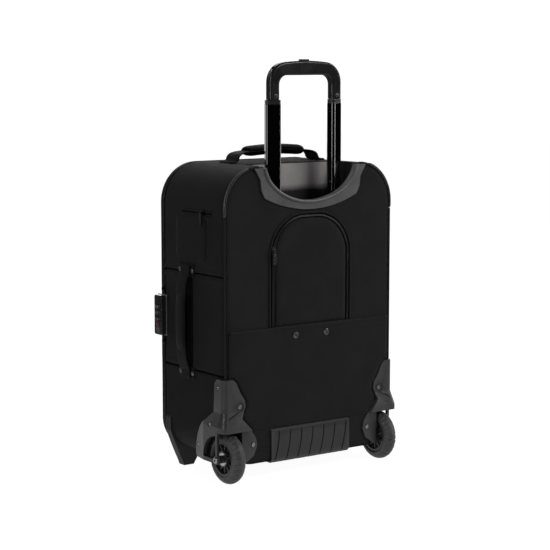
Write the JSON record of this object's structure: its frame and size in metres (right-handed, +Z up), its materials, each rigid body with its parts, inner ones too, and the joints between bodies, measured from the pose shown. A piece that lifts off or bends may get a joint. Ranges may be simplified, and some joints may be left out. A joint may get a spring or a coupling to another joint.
{
  "type": "rolling laptop case",
  "caption": "Soft-sided upright travel bag on two wheels, with a telescopic pull handle in a recess, a hinged front lid, a dial lock, zip pockets and carry handles.",
  "frame": {"origin": "on the ground under the middle of the bag", "axes": "+Z up, +Y towards the back with the wheels and the telescopic handle, +X towards the side with the lock and the side handle"},
  "size_m": [0.3844, 0.2491, 0.7115],
  "materials": {
    "nylon_back": "woven ballistic nylon, matt black",
    "nylon_side": "woven ballistic nylon, matt black",
    "webbing": "woven nylon webbing, black",
    "handle_pad": "padded nylon, black",
    "lining": "padded lining, grey",
    "zip": "nylon coil zip on woven tape, black",
    "zip_metal": "black-coated slider",
    "guard_plastic": "moulded, fine grain, dark grey",
    "trim_plastic": "moulded, fine grain, mid grey",
    "skid_plastic": "moulded ribs, fine grain, dark grey",
    "tub_plastic": "vacuum-formed, smooth, dark grey",
    "board": "twin-wall board, dark grey",
    "piping": "smooth extruded cord, dark grey",
    "tube_black": "gloss black anodised tube",
    "tube_steel": "satin",
    "collar_plastic": "moulded, black",
    "grip_plastic": "soft-touch, dark grey",
    "button_plastic": "smooth black",
    "spring_steel": "bright wire",
    "screw_black": "black oxide",
    "steel": "satin",
    "tyre_rubber": "solid polyurethane tread, dark grey",
    "hub_plastic": "moulded, dark grey",
    "lock_plastic": "satin graphite",
    "dial_plastic": "black with white figures",
    "red_plastic": "smooth red"
  },
  "bodies": {
    "case": {"axle_bolts": "screw_black", "back_panel": "nylon_back", "back_piping": "piping", "case_fasteners": "screw_black", "case_zips": "zip", "crescent_trim": "trim_plastic", "front_feet": "guard_plastic", "handle_anchors": "webbing", "handle_tub": "tub_plastic", "outer_gusset": "nylon_side", "outer_pockets": "nylon_back", "outer_tubes": "tube_steel", "padded_dividers": "lining", "skid_plate": "skid_plastic", "stiffener_boards": "board", "tube_bracket": "collar_plastic", "tunnel_cover": "board", "wheel_guard_left": "guard_plastic", "wheel_guard_right": "guard_plastic"},
    "middle_stage": {"middle_tubes": "tube_black", "middle_collars": "collar_plastic"},
    "inner_stage": {"inner_tubes": "tube_black", "inner_plugs": "collar_plastic", "grip_back": "grip_plastic", "grip_front": "grip_plastic", "grip_screws": "screw_black", "return_springs": "spring_steel"},
    "release_button": {"push_button": "button_plastic", "release_yoke": "steel"},
    "pin_left": {"lock_pin_left": "steel"},
    "pin_right": {"lock_pin_right": "steel"},
    "wheel_left": {"tyre_left": "tyre_rubber", "hub_left": "hub_plastic", "bearings_left": "steel"},
    "wheel_right": {"tyre_right": "tyre_rubber", "hub_right": "hub_plastic", "bearings_right": "steel"},
    "lid": {"lid_shell": "nylon_side", "front_pocket": "nylon_back", "laptop_sleeve": "lining", "lid_zips": "zip", "lock_base": "lock_plastic", "lock_housing": "lock_plastic"},
    "dial_1": {"lock_dial_1": "dial_plastic"},
    "dial_2": {"lock_dial_2": "dial_plastic"},
    "dial_3": {"lock_dial_3": "dial_plastic"},
    "lock_button": {"lock_release": "red_plastic"},
    "lock_key": {"key_cylinder": "steel"},
    "side_slider": {"side_zip_slider": "zip_metal"},
    "side_pull": {"side_zip_pull": "zip_metal"},
    "arch_slider": {"arch_zip_slider": "zip_metal"},
    "arch_pull": {"arch_zip_pull": "zip_metal"},
    "front_slider": {"front_zip_slider": "zip_metal"},
    "front_pull": {"front_zip_pull": "zip_metal"},
    "main_slider_upper": {"main_zip_upper_slider": "zip_metal"},
    "main_slider_lower": {"main_zip_lower_slider": "zip_metal"},
    "top_handle": {"top_handle_strap": "webbing", "top_handle_wrap": "handle_pad"},
    "side_handle": {"side_handle_strap": "webbing", "side_handle_wrap": "handle_pad"}
  },
  "joints": [
    {"name": "middle_slide", "type": "slide", "parent": "case", "child": "middle_stage", "axis": [0, 0, 1], "range_m": [-0.184, 0.056]},
    {"name": "inner_slide", "type": "slide", "parent": "middle_stage", "child": "inner_stage", "axis": [0, 0, 1], "range_m": [0, 0.24]},
    {"name": "button_press", "type": "slide", "parent": "inner_stage", "child": "release_button", "axis": [0, 0, -1], "range_m": [0, 0.004], "stiffness_N_per_m": 900, "deforming": ["return_springs"]},
    {"name": "pin_left_retract", "type": "slide", "parent": "inner_stage", "child": "pin_left", "axis": [0.9397, -0.342, 0], "range_m": [0, 0.003]},
    {"name": "pin_right_retract", "type": "slide", "parent": "inner_stage", "child": "pin_right", "axis": [-0.9397, -0.342, 0], "range_m": [0, 0.003]},
    {"name": "wheel_left_spin", "type": "hinge", "parent": "case", "child": "wheel_left", "pos_m": [0.163, 0.08, 0.0435], "axis": [1, 0, 0], "continuous": true},
    {"name": "wheel_right_spin", "type": "hinge", "parent": "case", "child": "wheel_right", "pos_m": [-0.163, 0.08, 0.0435], "axis": [1, 0, 0], "continuous": true},
    {"name": "lid_open", "type": "hinge", "parent": "case", "child": "lid", "pos_m": [-0.177, -0.096, 0.281], "axis": [0, 0, -1], "range_deg": [0, 175]},
    {"name": "dial_1_turn", "type": "hinge", "parent": "lid", "child": "dial_1", "pos_m": [0.186, -0.098, 0.262], "axis": [0, 0, 1], "continuous": true},
    {"name": "dial_2_turn", "type": "hinge", "parent": "lid", "child": "dial_2", "pos_m": [0.186, -0.098, 0.273], "axis": [0, 0, 1], "continuous": true},
    {"name": "dial_3_turn", "type": "hinge", "parent": "lid", "child": "dial_3", "pos_m": [0.186, -0.098, 0.284], "axis": [0, 0, 1], "continuous": true},
    {"name": "lock_release_press", "type": "slide", "parent": "lid", "child": "lock_button", "axis": [-1, 0, 0], "range_m": [0, 0.002], "stiffness_N_per_m": 300},
    {"name": "key_turn", "type": "hinge", "parent": "lid", "child": "lock_key", "pos_m": [0.184, -0.098, 0.243], "axis": [1, 0, 0], "range_deg": [0, 90]},
    {"name": "side_zip_slide", "type": "slide", "parent": "case", "child": "side_slider", "axis": [0, 1, 0], "range_m": [-0.058, 0.021]},
    {"name": "side_pull_swing", "type": "hinge", "parent": "side_slider", "child": "side_pull", "pos_m": [0.1818, 0.028, 0.4572], "axis": [0, -1, 0], "range_deg": [0, 150]},
    {"name": "arch_zip_slide", "type": "slide", "parent": "case", "child": "arch_slider", "axis": [0, 0, 1], "range_m": [-0.115, 0]},
    {"name": "arch_pull_swing", "type": "hinge", "parent": "arch_slider", "child": "arch_pull", "pos_m": [0.08, 0.1008, 0.3942], "axis": [1, 0, 0], "range_deg": [0, 150]},
    {"name": "front_zip_slide", "type": "slide", "parent": "lid", "child": "front_slider", "axis": [1, 0, 0], "range_m": [0, 0.224]},
    {"name": "front_pull_swing", "type": "hinge", "parent": "front_slider", "child": "front_pull", "pos_m": [-0.112, -0.1248, 0.4422], "axis": [-1, 0, 0], "range_deg": [0, 150]},
    {"name": "main_zip_upper_slide", "type": "slide", "parent": "case", "child": "main_slider_upper", "axis": [0, 0, 1], "range_m": [0, 0.13]},
    {"name": "main_zip_lower_slide", "type": "slide", "parent": "case", "child": "main_slider_lower", "axis": [0, 0, 1], "range_m": [-0.125, 0]},
    {"name": "top_handle_swing", "type": "hinge", "parent": "case", "child": "top_handle", "pos_m": [0, -0.016, 0.541], "axis": [1, 0, 0], "range_deg": [-15, 15]},
    {"name": "side_handle_swing", "type": "hinge", "parent": "case", "child": "side_handle", "pos_m": [0.183, -0.022, 0.2665], "axis": [0, 0, 1], "range_deg": [-20, 20]}
  ],
  "couplings": [
    {"joint": "pin_left_retract", "follows": "button_press", "ratio": 0.6},
    {"joint": "pin_right_retract", "follows": "button_press", "ratio": 0.6}
  ]
}
